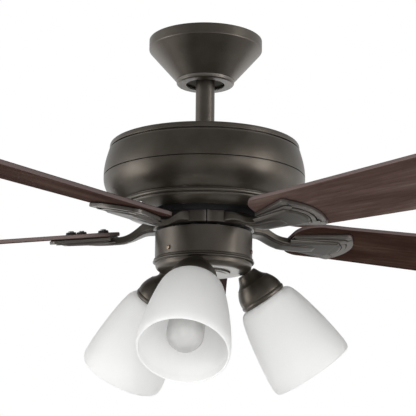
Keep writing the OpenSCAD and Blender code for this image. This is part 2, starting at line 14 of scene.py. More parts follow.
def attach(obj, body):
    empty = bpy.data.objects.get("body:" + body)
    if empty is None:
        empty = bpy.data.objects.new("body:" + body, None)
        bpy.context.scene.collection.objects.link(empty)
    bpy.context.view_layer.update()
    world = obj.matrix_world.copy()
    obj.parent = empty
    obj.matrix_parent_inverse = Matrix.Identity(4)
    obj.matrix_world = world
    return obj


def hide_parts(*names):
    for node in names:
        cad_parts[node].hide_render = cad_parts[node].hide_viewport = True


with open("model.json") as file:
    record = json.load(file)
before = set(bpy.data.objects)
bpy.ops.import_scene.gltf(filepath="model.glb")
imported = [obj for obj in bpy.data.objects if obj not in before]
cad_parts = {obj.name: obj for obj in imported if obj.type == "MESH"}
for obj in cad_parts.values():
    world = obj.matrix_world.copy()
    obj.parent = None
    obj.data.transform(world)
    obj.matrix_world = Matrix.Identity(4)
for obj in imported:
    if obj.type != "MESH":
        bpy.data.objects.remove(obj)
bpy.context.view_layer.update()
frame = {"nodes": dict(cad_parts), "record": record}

MM = 0.001
# Segments round a lathed shell and round a small turned part
ROUND = 144
SMALL_ROUND = 40

# ---- Camera ----

CAMERA_AT = Vector((0.0, -1.9398, -0.6797))
CAMERA_PAN, CAMERA_PITCH, CAMERA_ROLL = (math.radians(a) for a in (0.161, 12.698, 0.544))
CAMERA_LENS = 124.19
SENSOR_WIDTH = 36.0

forward = Vector((
    math.sin(CAMERA_PAN) * math.cos(CAMERA_PITCH),
    math.cos(CAMERA_PAN) * math.cos(CAMERA_PITCH),
    math.sin(CAMERA_PITCH),
))
level = Vector((math.cos(CAMERA_PAN), -math.sin(CAMERA_PAN), 0.0))
rise = level.cross(forward)
right = math.cos(CAMERA_ROLL) * level + math.sin(CAMERA_ROLL) * rise
up = -math.sin(CAMERA_ROLL) * level + math.cos(CAMERA_ROLL) * rise
camera = bpy.data.objects.new("camera", bpy.data.cameras.new("camera"))
camera.data.lens = CAMERA_LENS
camera.data.sensor_width = SENSOR_WIDTH
camera.matrix_world = Matrix.Translation(CAMERA_AT) @ Matrix((right, up, -forward)).transposed().to_4x4()
bpy.context.scene.collection.objects.link(camera)
bpy.context.scene.camera = camera


# ---- Materials ----

# A blade's object index chooses its grain and its tone; the fifth blade's lighter, greyer tone is painted
# sheen
INDEX_STEP, FIRST_INDEX, INDEX_SPAN = 7, 3, 35


class Surface:
    """A material and its node tree, with short calls to add and join nodes."""

    def __init__(self, name, **shader):
        self.material = bpy.data.materials.new(name)
        self.material.use_nodes = True
        self.tree = self.material.node_tree
        self.shader = self.tree.nodes["Principled BSDF"]
        for socket, value in shader.items():
            self.shader.inputs[socket.replace("_", " ")].default_value = value

    def add(self, kind, settings=None, **sockets):
        """A new node with its settings, and its sockets set or linked."""
        node = self.tree.nodes.new("ShaderNode" + kind)
        for key, value in (settings or {}).items():
            setattr(node, key, value)
        for socket, value in sockets.items():
            self.set(node.inputs[socket.replace("_", " ")], value)
        return node

    def set(self, socket, value):
        if isinstance(value, bpy.types.NodeSocket):
            self.tree.links.new(value, socket)
        else:
            socket.default_value = value

    def stretched(self, vector, scale):
        """A vector scaled by a different amount along each axis."""
        return self.add("Mapping", Vector=vector, Scale=scale).outputs["Vector"]

    def coords(self, scale=(1, 1, 1)):
        """Positions in the object's own space, stretched."""
        return self.stretched(self.add("TexCoord").outputs["Object"], scale)

    def noise(self, vector, scale, detail=4.0, roughness=0.55, distortion=0.0):
        node = self.add(
            "TexNoise", Vector=vector, Scale=scale,
            Detail=detail, Roughness=roughness, Distortion=distortion,
        )
        return node.outputs["Fac"]

    def bands(self, vector, scale, distortion, direction="Z", profile="SIN", **more):
        """Parallel bands across one axis."""
        settings = {"wave_type": "BANDS", "bands_direction": direction, "wave_profile": profile}
        return self.add(
            "TexWave", settings, Vector=vector, Scale=scale, Distortion=distortion, **more
        ).outputs["Fac"]

    def ramp(self, value, *stops):
        """A colour ramp; each stop is (position, colour or grey)."""
        node = self.add("ValToRGB", Fac=value)
        elements = node.color_ramp.elements
        for i, (position, colour) in enumerate(stops):
            element = elements[i] if i < 2 else elements.new(position)
            element.position = position
            element.color = (*colour, 1) if hasattr(colour, "__len__") else (colour, colour, colour, 1)
        return node.outputs["Color"]

    def span(self, value, low, high, out_low, out_high):
        node = self.add(
            "MapRange", Value=value,
            **{"From_Min": low, "From_Max": high, "To_Min": out_low, "To_Max": out_high},
        )
        return node.outputs["Result"]

    def mix(self, factor, a, b, blend="MIX"):
        node = self.add("Mix", {"data_type": "RGBA", "blend_type": blend})
        self.set(node.inputs[0], factor)
        self.set(node.inputs[6], a)
        self.set(node.inputs[7], b)
        return node.outputs[2]

    def math(self, operation, a, b=0.0):
        node = self.add("Math", {"operation": operation})
        self.set(node.inputs[0], a)
        self.set(node.inputs[1], b)
        return node.outputs[0]

    def bump(self, height, strength, distance):
        return self.add("Bump", Height=height, Strength=strength, Distance=distance).outputs["Normal"]

    def use(self, **sockets):
        for socket, value in sockets.items():
            self.set(self.shader.inputs[socket.replace("_", " ")], value)
        return self.material


def tones(base, low, high):
    """The base colour darkened and lightened by two factors."""
    return (tuple(c * k for c in base) for k in (low, high))


def make_bronze(name, tone, smooth, rough, coat):
    """Bronze paint with painted shade darkening its crevices and edges paled partly by wear and partly as
    painted highlight, with its roughness between smooth and rough.
    """
    s = Surface(name, Metallic=0.88, Coat_Weight=coat, Coat_Roughness=smooth - 0.05, Coat_IOR=1.45)
    at = s.coords()
    cloud = s.noise(at, 22.0, 3.0)
    speck = s.noise(at, 900.0, 2.0, 0.7)
    dark = tuple(c * tone for c in (0.090, 0.076, 0.060))
    light = tuple(c * tone for c in (0.124, 0.108, 0.089))
    colour = s.ramp(cloud, (0.35, dark), (0.7, light))
    flecks = s.ramp(speck, (0.62, 0.0), (0.74, 0.35))
    colour = s.mix(flecks, colour, (0.17, 0.145, 0.12, 1))
    pointed = s.add("NewGeometry").outputs["Pointiness"]
    # Painted shade: colour darkened to near black in crevices, standing in for shadow in the grooves between
    # steps
    painted_shade_crevices = s.span(pointed, 0.44, 0.495, 0.9, 0.0)
    # Edges lightened, partly as wear and partly as painted highlight
    wear_and_highlight_edges = s.span(pointed, 0.51, 0.56, 0.0, 0.7)
    colour = s.mix(painted_shade_crevices, colour, (0.014, 0.012, 0.010, 1))
    colour = s.mix(wear_and_highlight_edges, colour, (0.24, 0.22, 0.20, 1))
    fine = s.noise(at, 1500.0, 2.0, 0.6)
    roughness = s.span(cloud, 0.3, 0.7, smooth, rough)
    return s.use(Base_Color=colour, Roughness=roughness, Normal=s.bump(fine, 0.12, 0.0002))


def make_steel(name, base, roughness):
    """Zinc-plated steel with a faint spangle and fine scratches."""
    s = Surface(name, Metallic=1.0)
    at = s.coords()
    cloud = s.noise(at, 35.0, 4.0)
    spangle = s.add("TexVoronoi", Vector=at, Scale=160.0).outputs["Color"]
    grey = s.add("RGBToBW", Color=spangle).outputs[0]
    low, high = tones(base, 0.82, 1.12)
    colour = s.ramp(cloud, (0.3, low), (0.7, high))
    colour = s.mix(s.span(grey, 0.0, 1.0, 0.0, 0.22), colour, (*[c * 0.7 for c in base], 1))
    rough = s.span(cloud, 0.3, 0.7, roughness - 0.05, roughness + 0.08)
    scratch = s.noise(s.coords((1, 1, 40)), 60.0, 3.0)
    return s.use(Base_Color=colour, Roughness=rough, Normal=s.bump(scratch, 0.08, 0.0002))


def make_laminated():
    """The stator core's stack of thin sheets."""
    s = Surface("laminated_core", Metallic=1.0, Roughness=0.45)
    at = s.coords()
    sheets = s.bands(at, 320.0, 0.3)
    colour = s.ramp(sheets, (0.3, (0.20, 0.20, 0.21)), (0.7, (0.45, 0.45, 0.47)))
    stain = s.noise(at, 40.0)
    colour = s.mix(s.span(stain, 0.45, 0.75, 0.0, 0.5), colour, (0.2, 0.14, 0.1, 1))
    return s.use(Base_Color=colour, Normal=s.bump(sheets, 0.4, 0.0002))


def make_copper():
    """Lacquered wire laid in turns."""
    s = Surface("copper_wire", Metallic=0.9, Roughness=0.32, Coat_Weight=0.6, Coat_Roughness=0.15)
    at = s.coords()
    turns = s.bands(at, 260.0, 1.2)
    colour = s.ramp(turns, (0.2, (0.28, 0.10, 0.04)), (0.8, (0.75, 0.34, 0.16)))
    return s.use(Base_Color=colour, Normal=s.bump(turns, 0.8, 0.0004))


def make_plastic(name, base, roughness):
    """Moulded plastic or rubber with a fine leather grain."""
    s = Surface(name, Roughness=roughness)
    at = s.coords()
    cloud = s.noise(at, 30.0)
    low, high = tones(base, 0.85, 1.15)
    colour = s.ramp(cloud, (0.3, low), (0.7, high))
    rough = s.span(cloud, 0.3, 0.7, roughness - 0.06, roughness + 0.06)
    leather = s.noise(at, 700.0, 2.0)
    return s.use(Base_Color=colour, Roughness=rough, Normal=s.bump(leather, 0.2, 0.0003))


def make_painted(name, base):
    """Rough black paint on a casting."""
    s = Surface(name, Specular_IOR_Level=0.12)
    at = s.coords()
    cloud = s.noise(at, 45.0)
    low, high = tones(base, 0.8, 1.25)
    sand = s.noise(at, 1100.0, 3.0, 0.7)
    colour = s.ramp(cloud, (0.3, low), (0.7, high))
    rough = s.span(cloud, 0.3, 0.7, 0.62, 0.75)
    return s.use(Base_Color=colour, Roughness=rough, Normal=s.bump(sand, 0.3, 0.0003))


def make_walnut():
    """Veneer with its grain along the blade's own X, different on each blade, with painted sheen as a
    lighter, greyer tone on the fifth blade, and a paler, greyer colour on the board's edges.
    """
    s = Surface("walnut_veneer", Specular_IOR_Level=0.003)
    index = s.add("ObjectInfo").outputs["Object Index"]
    lane = s.math("MULTIPLY", index, 0.37)
    lanes = s.add("CombineXYZ", X=lane, Y=lane, Z=lane).outputs["Vector"]
    per_blade = s.add("VectorMath", {"operation": "ADD"})
    s.set(per_blade.inputs[0], s.add("TexCoord").outputs["Object"])
    s.set(per_blade.inputs[1], lanes)
    at = per_blade.outputs[0]
    figure = s.noise(s.stretched(at, (2.2, 11.0, 11.0)), 1.6, 5.0, 0.6, 0.6)
    rings = s.bands(
        s.stretched(at, (0.35, 3.2, 3.2)), 9.0, 7.0, "Y", "SAW",
        Detail=4.0, Detail_Scale=1.6, Detail_Roughness=0.6,
    )
    pores = s.noise(s.stretched(at, (14.0, 320.0, 320.0)), 3.0, 3.0, 0.7)
    dark, middle, pale = (0.046, 0.020, 0.015), (0.100, 0.051, 0.038), (0.190, 0.116, 0.088)
    colour = s.ramp(figure, (0.3, dark), (0.5, middle), (0.72, pale))
    colour = s.mix(s.span(rings, 0.0, 1.0, 0.0, 0.45), colour, (0.053, 0.026, 0.021, 1))
    colour = s.mix(s.span(pores, 0.55, 0.72, 0.0, 0.65), colour, (0.028, 0.016, 0.012, 1))
    # Tone differs from blade to blade; the fifth blade's lighter, greyer tone is painted sheen
    share = s.math("MULTIPLY", index, 1 / INDEX_SPAN)
    tone = s.ramp(share, (0.1, 0.42), (0.68, 0.57), (0.88, (1.05, 1.32, 1.5)))
    colour = s.mix(1.0, colour, tone, "MULTIPLY")
    # The board's edges, where the surface faces sideways, are mixed to a paler, greyer colour
    facing = s.add("SeparateXYZ", Vector=s.add("TexCoord").outputs["Normal"]).outputs["Z"]
    paler_edge = s.span(s.math("ABSOLUTE", facing), 0.55, 0.85, 1.0, 0.0)
    colour = s.mix(paler_edge, colour, (0.115, 0.088, 0.083, 1))
    rough = s.span(pores, 0.4, 0.7, 0.66, 0.78)
    return s.use(Base_Color=colour, Roughness=rough, Normal=s.bump(pores, 0.25, 0.0003))


def make_frosted():
    """Etched white glass that scatters the light passing through it."""
    s = Surface(
        "frosted_glass", Roughness=0.42, Specular_IOR_Level=0.5, Subsurface_Weight=0.35,
        Subsurface_Radius=(0.02, 0.02, 0.02), Coat_Weight=0.1, Coat_Roughness=0.4,
    )
    at = s.coords()
    cloud = s.noise(at, 16.0, 5.0, 0.6)
    colour = s.ramp(cloud, (0.3, (0.88, 0.88, 0.875)), (0.7, (0.93, 0.93, 0.925)))
    etched = s.noise(at, 1400.0, 2.0)
    s.use(Base_Color=colour, Normal=s.bump(etched, 0.1, 0.0002))
    lit_through = s.add("BsdfTranslucent", Color=(0.975, 0.975, 0.97, 1)).outputs["BSDF"]
    both = s.add("MixShader", Fac=0.62)
    s.set(both.inputs[1], s.shader.outputs["BSDF"])
    s.set(both.inputs[2], lit_through)
    s.set(s.tree.nodes["Material Output"].inputs["Surface"], both.outputs[0])
    return s.material


def make_porcelain():
    """Glazed socket body."""
    s = Surface("porcelain", Roughness=0.22, Coat_Weight=0.5, Coat_Roughness=0.08)
    cloud = s.noise(s.coords(), 40.0)
    return s.use(Base_Color=s.ramp(cloud, (0.3, (0.74, 0.71, 0.64)), (0.7, (0.82, 0.80, 0.74))))


def make_bulb_glass():
    """A bulb's soft coating, greyed well below white as painted shade so the bulb reads as a faint darker
    shape inside the glass.
    """
    s = Surface("bulb_glass", Roughness=0.3, Subsurface_Weight=0.3, Subsurface_Radius=(0.01, 0.01, 0.01))
    cloud = s.noise(s.coords(), 60.0)
    return s.use(Base_Color=s.ramp(cloud, (0.3, (0.42, 0.417, 0.41)), (0.7, (0.48, 0.477, 0.469))))


CAST_BRONZE = make_bronze("cast_bronze", 0.52, 0.38, 0.46, 0.06)
MATERIALS = {
    "bronze": make_bronze("oil_rubbed_bronze", 0.91, 0.36, 0.44, 0.30),
    "steel": make_steel("zinc_steel", (0.46, 0.46, 0.47), 0.38),
    "ball_plastic": make_plastic("ball_plastic", (0.03, 0.03, 0.032), 0.45),
    "motor_metal": make_painted("motor_metal", (0.012, 0.012, 0.013)),
    "core_steel": make_laminated(),
    "copper_wire": make_copper(),
    "walnut": make_walnut(),
    "rubber_pad": make_plastic("rubber_pad", (0.014, 0.014, 0.015), 0.55),
    "black_plastic": make_plastic("black_plastic", (0.02, 0.02, 0.021), 0.4),
    "porcelain": make_porcelain(),
    "frosted_glass": make_frosted(),
    "bulb_glass": make_bulb_glass(),
}


# ---- Mesh helpers ----


def curve(p0, p1, p2, p3, steps=10):
    """Points of a cubic curve."""
    out = []
    for i in range(steps + 1):
        t = i / steps
        s = 1 - t
        out.append(tuple(
            s * s * s * a + 3 * s * s * t * b + 3 * s * t * t * c + t * t * t * d
            for a, b, c, d in zip(p0, p1, p2, p3)
        ))
    return out


def arc(x, y, radius, start, end, steps):
    """Points round part of a circle, between two angles in degrees."""
    angles = [math.radians(start + (end - start) * i / steps) for i in range(steps + 1)]
    return [(x + radius * math.cos(a), y + radius * math.sin(a)) for a in angles]


def rounded(corners, step=18):
    """Closed outline from points (x, y) or (x, y, radius), with a corner rounded where it has a radius."""
    out = []
    for i, corner in enumerate(corners):
        p = Vector(corner[:2])
        radius = corner[2] if len(corner) > 2 else 0
        if not radius:
            out.append(tuple(p))
            continue
        before = Vector(corners[i - 1][:2]) - p
        after = Vector(corners[(i + 1) % len(corners)][:2]) - p
        half = before.angle(after) / 2
        reach = min(radius / math.tan(half), 0.48 * before.length, 0.48 * after.length)
        before.normalize()
        after.normalize()
        centre = p + (before + after).normalized() * (reach / math.cos(half))
        start, end = p + before * reach - centre, p + after * reach - centre
        turn = start.angle(end)
        steps = max(1, math.ceil(math.degrees(turn) / step))
        sign = 1 if start.x * end.y - start.y * end.x > 0 else -1
        for k in range(steps + 1):
            a = sign * turn * k / steps
            out.append((
                centre.x + start.x * math.cos(a) - start.y * math.sin(a),
                centre.y + start.x * math.sin(a) + start.y * math.cos(a),
            ))
    return out


def lathe(profile, segments=ROUND):
    """Vertices and faces of a closed profile of (radius, height) turned about Z."""
    count = len(profile)
    verts = [
        (r * math.cos(a), r * math.sin(a), z)
        for a in (2 * math.pi * k / segments for k in range(segments))
        for r, z in profile
    ]
    faces = []
    for k in range(segments):
        n = (k + 1) % segments
        for i in range(count):
            j = (i + 1) % count
            faces.append((k * count + i, n * count + i, n * count + j, k * count + j))
    return verts, faces


def turn(degrees, axis="Z"):
    """A turn about one axis."""
    return Matrix.Rotation(math.radians(degrees), 4, axis)


def shift(x, y, z):
    """A move without a turn."""
    return Matrix.Translation((x, y, z))


def moved(part, matrix):
    """The part taken through a matrix."""
    verts, faces = part
    return [tuple(matrix @ Vector(v)) for v in verts], faces


def joined(parts):
    """Several parts as one."""
    verts, faces = [], []
    for v, f in parts:
        base = len(verts)
        verts += v
        faces += [tuple(i + base for i in face) for face in f]
    return verts, faces


def carved(part, tool):
    """The part with the tool cut out of it."""
    made = []
    for verts, faces in (part, tool):
        mesh = bpy.data.meshes.new("carving")
        mesh.from_pydata([Vector(v) for v in verts], [], faces)
        bm = bmesh.new()
        bm.from_mesh(mesh)
        bmesh.ops.remove_doubles(bm, verts=bm.verts, dist=1e-4)
        bmesh.ops.recalc_face_normals(bm, faces=bm.faces)
        bm.to_mesh(mesh)
        bm.free()
        obj = bpy.data.objects.new("carving", mesh)
        bpy.context.scene.collection.objects.link(obj)
        made.append(obj)
    body, cutter = made
    cut = body.modifiers.new("cut", "BOOLEAN")
    cut.object, cut.operation, cut.solver = cutter, "DIFFERENCE", "EXACT"
    bpy.context.view_layer.update()
    mesh = body.evaluated_get(bpy.context.evaluated_depsgraph_get()).to_mesh()
    result = [tuple(v.co) for v in mesh.vertices], [tuple(p.vertices) for p in mesh.polygons]
    for obj in made:
        bpy.data.objects.remove(obj)
    return result


def box_part(x, y, z):
    """A box of the given sizes about the origin."""
    verts = [(sx * x / 2, sy * y / 2, sz * z / 2) for sz in (-1, 1) for sy in (-1, 1) for sx in (-1, 1)]
    return verts, [(0, 1, 3, 2), (4, 6, 7, 5), (0, 4, 5, 1), (2, 3, 7, 6), (0, 2, 6, 4), (1, 5, 7, 3)]


def slotted_head(radius, height, slot_w, slot_d, steps=28):
    """A slightly domed screw head standing on z = 0, with a straight slot along X."""
    dome = curve(
        (radius * 0.9, height * 0.8), (radius * 0.6, height * 0.97), (radius * 0.3, height), (0, height), 6
    )
    head = lathe(rounded([(0, 0), (radius, 0, 0.15), (radius * 0.97, height * 0.7, 0.3)] + dome), steps)
    return carved(head, moved(box_part(4 * radius, slot_w, 2 * slot_d), shift(0, 0, height)))


def rod_part(radius, z0, z1, steps=20):
    """A rod along Z from z0 to z1."""
    return lathe(rounded([(0, z0), (radius, z0, 0.2), (radius, z1, 0.2), (0, z1)]), steps)


def piece(name, part, material_slot, body, nodes=(), matrix=Matrix.Identity(4), sharp=34, material=None):
    """Makes an object from vertices in millimetres, lets it ride, and hides the CAD parts it stands in for.
    """
    verts, faces = part
    mesh = bpy.data.meshes.new(name)
    mesh.from_pydata([Vector(v) * MM for v in verts], [], faces)
    bm = bmesh.new()
    bm.from_mesh(mesh)
    bmesh.ops.remove_doubles(bm, verts=bm.verts, dist=1e-6)
    bmesh.ops.dissolve_degenerate(bm, edges=bm.edges, dist=1e-7)
    bmesh.ops.recalc_face_normals(bm, faces=bm.faces)
    for f in bm.faces:
        f.smooth = True
    for e in bm.edges:
        if e.is_manifold and math.degrees(e.calc_face_angle(0)) > sharp:
            e.smooth = False
    bm.to_mesh(mesh)
    bm.free()
    mesh.materials.append(material or MATERIALS[material_slot])
    obj = bpy.data.objects.new(name, mesh)
    bpy.context.scene.collection.objects.link(obj)
    weighted = obj.modifiers.new("weighted", "WEIGHTED_NORMAL")
    weighted.keep_sharp = True
    place = matrix.copy()
    place.translation *= MM
    obj.matrix_world = place
    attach(obj, body)
    if nodes:
        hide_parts(*nodes)
    return obj


# ---- Carried-over CAD parts ----

for entry in frame["record"]["subparts"]:
    node = frame["nodes"][entry["node"]]
    node.data.materials.clear()
    node.data.materials.append(MATERIALS[entry["material_slot"]])


# ---- Canopy and rod ----

piece("canopy_shell", lathe(rounded([
    (80, 0, 0.5), (80, -14.43, 2.5), (41.2, -59, 0.8), (28, -59.2, 0.3), (28, -58),
    (39.8, -58), (76.3, -14.5), (78.8, -12.9), (78.8, 0, 0.3),
])), "bronze", "ceiling_mount", ["canopy"])
piece("canopy_ring", lathe(rounded([
    (40.6, -59.2), (40.6, -65, 4), (27, -65, 0.5), (27, -63.8),
    (39.4, -63.8, 2.8), (39.4, -59.2),
])), "bronze", "ceiling_mount", ["canopy_trim_ring"])
piece("rod_tube", lathe(rounded([
    (13.35, -12, 0.4), (13.35, -147, 0.4), (10.45, -147, 0.4), (10.45, -12, 0.4),
]), 72), "bronze", "hanging_frame", ["downrod"])

# ---- Motor housing ----

SHELL_WALL, BELLY_WALL = 1.6, 4

COVER_TOP = curve((44, -147), (80, -147.5), (110, -152.1), (127, -154.6), 20)
COVER_EDGE = curve((128.5, -154.6), (131, -154.9), (132, -156.1), (132.2, -157.6), 8)
COVER_UNDER = curve((44, -148.6), (80, -149.1), (105, -153.6), (120, -157.2), 20)
piece("cover_shell", lathe(rounded(
    [(22, -147, 0.4)] + COVER_TOP + COVER_EDGE
    + [(132.6, -162.0, 0.5), (132.2, -162.6, 0.3), (128.4, -162.6, 0.2), (128.4, -168)]
    + [(126.8, -168), (126.8, -160.6)]
    + COVER_UNDER[::-1] + [(22, -148.6, 0.4)]
)), "bronze", "hanging_frame", ["housing_top_cover"])

UPPER = curve((133.6, -165.4), (136.5, -176), (140, -186), (140, -200.9), 20)
piece("upper_shell", lathe(rounded(
    [(128.7, -165), (132.6, -165, 0.3)] + UPPER + [(140, -201.4, 0.4), (138.4, -201.4, 0.2)]
    + [(r - SHELL_WALL, z) for r, z in UPPER[::-1][:-2]] + [(130.3, -166.6), (130.3, -168), (128.7, -168)]
)), "bronze", "hanging_frame", ["housing_upper_shell"])

BELLY = curve((140, -203.1), (140, -215), (134.5, -227), (117.8, -238.3), 22)
COVE = curve((116.2, -247.3), (113, -252.5), (104, -256), (95.4, -257.1), 16)
BEAD = arc(115.2, -242.7, 2.6, 74, -70, 12)
piece("lower_shell", lathe(rounded(
    [(136, -197), (137.6, -197, 0.4), (137.6, -202.6), (140, -202.6, 0.4)] + BELLY + [(116.0, -239.3, 0.3)]
    + BEAD + [(114.2, -245.4, 0.2), (114.2, -246.7, 0.2)] + COVE + [(93.4, -257.2, 0.5), (93.4, -255.6, 0.5)]
    + [(r - SHELL_WALL, z + SHELL_WALL) for r, z in COVE[:3:-1]] + [(113, -239)]
    + [(r - BELLY_WALL, z) for r, z in BELLY[::-1]]
)), "bronze", "hanging_frame", ["housing_lower_shell"])

# ---- Switch housing, bowl and cap ----

SWITCH_RADIUS = 67
SWITCH_CAN = lathe(rounded([
    (65.6, -279.6, 0.4), (SWITCH_RADIUS, -279.6, 0.9), (SWITCH_RADIUS, -315.0, 0.4),
    (66.2, -315.3, 0.2), (66.2, -315.9, 0.2),
    (68.4, -316.1, 0.5), (68.9, -318.4, 0.5), (66.4, -318.7, 0.2),
    (65.6, -318.6), (65.6, -282.8), (50, -282.8), (50, -281.2), (65.6, -281.2),
]))

BOWL_SIDE = curve((66.1, -325.2), (65.5, -330.7), (60, -333.3), (53, -333.5), 14)
BOWL_ROLL = arc(68.8, -320.2, 1, 84, -60, 9)
piece("bowl_shell", lathe(rounded(
    [(63.9, -301.7), (65.3, -301.7, 0.4), (65.3, -319.2)] + BOWL_ROLL + [(66.3, -322.6, 0.5)] + BOWL_SIDE
    + [(30, -333.5, 0.4), (30, -332.1), (52, -332.1)]
    + [(r - 1.5, z + 1.4) for r, z in BOWL_SIDE[::-1]] + [(63.9, -322.8)]
)), "bronze", "hanging_frame", ["light_kit_bowl"])
piece("cap_disc", lathe(rounded([
    (0, -336.5), (31, -336.5, 1), (32.5, -335.7, 1), (36.4, -335.5, 0.5), (37, -334.8, 0.5),
    (37, -333.5, 0.2),
    (29.9, -333.5), (29.9, -329.5), (28.4, -329.5), (28.4, -334.9), (0, -334.9),
])), "bronze", "hanging_frame", ["bottom_cap"])


# The reverse switch's slider stands in this opening at the back
SWITCH_SLOT = moved(box_part(5, 8, 11), shift(0, SWITCH_RADIUS, -291.5))
piece("switch_can", carved(SWITCH_CAN, SWITCH_SLOT), "bronze", "hanging_frame", ["switch_housing"])


SCREW_TURNS, SCREW_Z = (-134.6, -14.6, 105.4), -307.7
CASE_SCREW = joined([slotted_head(3.1, 2.0, 0.9, 0.9), rod_part(2.0, -5.6, 0.0)])
# Each screw's slot stands at its own angle
CASE_SCREW_PLACES = [
    turn(a) @ shift(SWITCH_RADIUS, 0, SCREW_Z) @ turn(90, "Y") @ turn(60 * i + 20)
    for i, a in enumerate(SCREW_TURNS)
]
piece("case_slot_screws", joined([moved(CASE_SCREW, m) for m in CASE_SCREW_PLACES]),
      "steel", "hanging_frame", ["switch_housing_screws"],
      material=make_steel("dark_steel", (0.40, 0.30, 0.22), 0.3))

# ---- Lamps ----

LAMP_TURNS = (17, 136.5, -99)
LAMP_REACH, LAMP_Z, LAMP_TILT = 88.5, -366, -36.8
GLASS_T = 3.2
THREAD_TURNS, THREAD_PITCH = 13, 2.0


HOLDER = (
    [(31.6, 0, 0.3), (32.4, 0.6, 0.5), (33.3, 3.6, 1.4), (32.7, 5.9, 0.8), (32.0, 6.4, 0.25)]
    + curve((32.1, 7.0), (32.1, 15), (28.6, 22), (24.3, 28), 16)
    + [(24.2, 28.6, 0.3), (22.9, 29.3, 0.25)]
    + curve((22.6, 29.8), (18.8, 32.6), (16.6, 36.2), (14, 42.6), 14)
    + [(13.3, 43.2, 0.3), (13.3, 44.2, 0.3), (5, 44.2), (5, 56, 0.4), (3, 56, 0.4)]
    + [(3, 34.5), (12.5, 34.5), (20.3, 25.4)]
    + curve((21.6, 24.4), (25.6, 20), (29.6, 12), (29.1, 1), 12) + [(29.1, 0, 0.3)]
)
SHADE_TOP = curve((31, -0.5), (37, -0.5), (40.2, -5.2), (42.4, -10.5), 12)
SHADE_SIDE = curve((42.4, -10.5), (49.5, -30), (58.5, -78), (60.3, -108), 26)
SHADE_LIP = curve((60.3, -109), (60.3, -115.5), (59.2, -119), (57.4, -119), 8)
SHADE_INNER = [(r - GLASS_T, z) for r, z in SHADE_SIDE]
SHADE = (
    [(21, -0.5, 0.6)] + SHADE_TOP + SHADE_SIDE[1:] + SHADE_LIP + [(56.6, -118.2, 0.6)] + SHADE_INNER[::-1]
    + curve((39, -10), (37.4, -7.5), (35, -3.7), (30, -3.7), 10)[1:] + [(21, -3.7, 0.6)]
)
BULB = (
    [(0, -12.5), (12.6, -12.5)] + curve((13.2, -12), (14.3, -22), (24, -34), (24, -88), 18)
    + curve((24, -89), (24, -102), (13, -112), (0, -112), 14)
)
BULB_BASE = [(0, 20), (5.6, 20, 0.8), (6, 18, 0.5), (11, 17, 1)]
for k in range(THREAD_TURNS):
    BULB_BASE += [(12.9, 15.4 - THREAD_PITCH * k, 0.6), (12.0, 14.4 - THREAD_PITCH * k, 0.5)]
BULB_BASE += [(13, -11, 0.3), (13, -12.4, 0.3), (0, -12.4)]

for i, lamp_turn in enumerate(LAMP_TURNS):
    label = str(i + 1)
    at = turn(lamp_turn) @ shift(LAMP_REACH, 0, LAMP_Z) @ turn(LAMP_TILT, "Y")
    piece("holder_bell_" + label, lathe(rounded(HOLDER), 96), "bronze", "hanging_frame",
          ["lamp_holder_" + label], at)
    piece("shade_glass_" + label, lathe(rounded(SHADE), 128), "frosted_glass", "hanging_frame",
          ["glass_shade_" + label], at, sharp=60)
    piece("bulb_globe_" + label, lathe(BULB, 56), "bulb_glass", "hanging_frame", ["bulb_" + label], at)
    piece("bulb_cap_" + label, lathe(rounded(BULB_BASE, 30), 48), "steel", "hanging_frame", (), at)

# ---- Blades ----

BLADE_COUNT, FIRST_TURN = 5, 21
BLADE_Z, BLADE_DROOP, BLADE_PITCH = -271.1, 1.32, 12.15
BLADE_T, BLADE_EDGE_RADIUS = 5.6, 1.7
BLADE_FRAME = shift(0, 0, BLADE_Z) @ turn(BLADE_DROOP, "Y") @ turn(-BLADE_PITCH, "X")


def blade_edge():
    """(x, half-width) from the root's middle round to the tip's middle."""
    return (
        [(129.0, 0.0), (129.0, 5.5), (129.0, 11.0)]
        + arc(165, 16.0, 36, 178, 97, 16)
        + curve((200, 52.1), (330, 58.5), (500, 67), (634, 74.5), 30)
        + arc(636, 50.5, 24, 88, 6, 14)
        + [(660.8, 34.0), (661.3, 17.0), (661.6, 0.0)]
    )


def board(edge, thickness, radius, steps=4, lanes=9):
    """A board with half-round edges, from one side's outline, mirrored in Y and laid in cross strips."""
    verts, faces, rings, normals = [], [], [], []
    count = len(edge)
    for i in range(count):
        a, b = Vector(edge[max(i - 1, 0)]), Vector(edge[min(i + 1, count - 1)])
        d = (b - a).normalized()
        if i == 0 or i == count - 1:
            d = Vector((0, 1)) if i == 0 else Vector((0, -1))
        normals.append(Vector((-d.y, d.x)))
    angles = [math.radians(90 * k / steps) for k in range(steps + 1)]
    levels = [(radius * (1 - math.sin(a)), thickness / 2 - radius * (1 - math.cos(a))) for a in angles]
    levels = levels + [(inset, -z) for inset, z in levels[::-1]]
    for inset, z in levels:
        ring = []
        for p, n in zip(edge, normals):
            ring.append((p[0] - n.x * inset, p[1] - n.y * inset, z))
        ring += [(x, -y, z) for x, y, _ in ring[-2:0:-1]]
        base = len(verts)
        verts += ring
        rings.append(range(base, base + len(ring)))
    size = len(rings[0])
    for a, b in zip(rings, rings[1:]):
        for i in range(size):
            j = (i + 1) % size
            faces.append((a[i], a[j], b[j], b[i]))
    for ring in (rings[0], rings[-1]):
        rows = []
        for i in range(1, count - 1):
            near, far = ring[i], ring[size - i]
            x, y, z = verts[near]
            row = [near]
            for k in range(1, lanes):
                verts.append((x, y * (1 - 2 * k / lanes), z))
                row.append(len(verts) - 1)
            rows.append(row + [far])
        for r0, r1 in zip(rows, rows[1:]):
            for k in range(lanes):
                faces.append((r0[k], r0[k + 1], r1[k + 1], r1[k]))
        faces.append((ring[0], *rows[0]))
        faces.append((ring[count - 1], *rows[-1]))
    return verts, faces


BOARD = board(blade_edge(), BLADE_T, BLADE_EDGE_RADIUS)

# ---- Blade irons ----

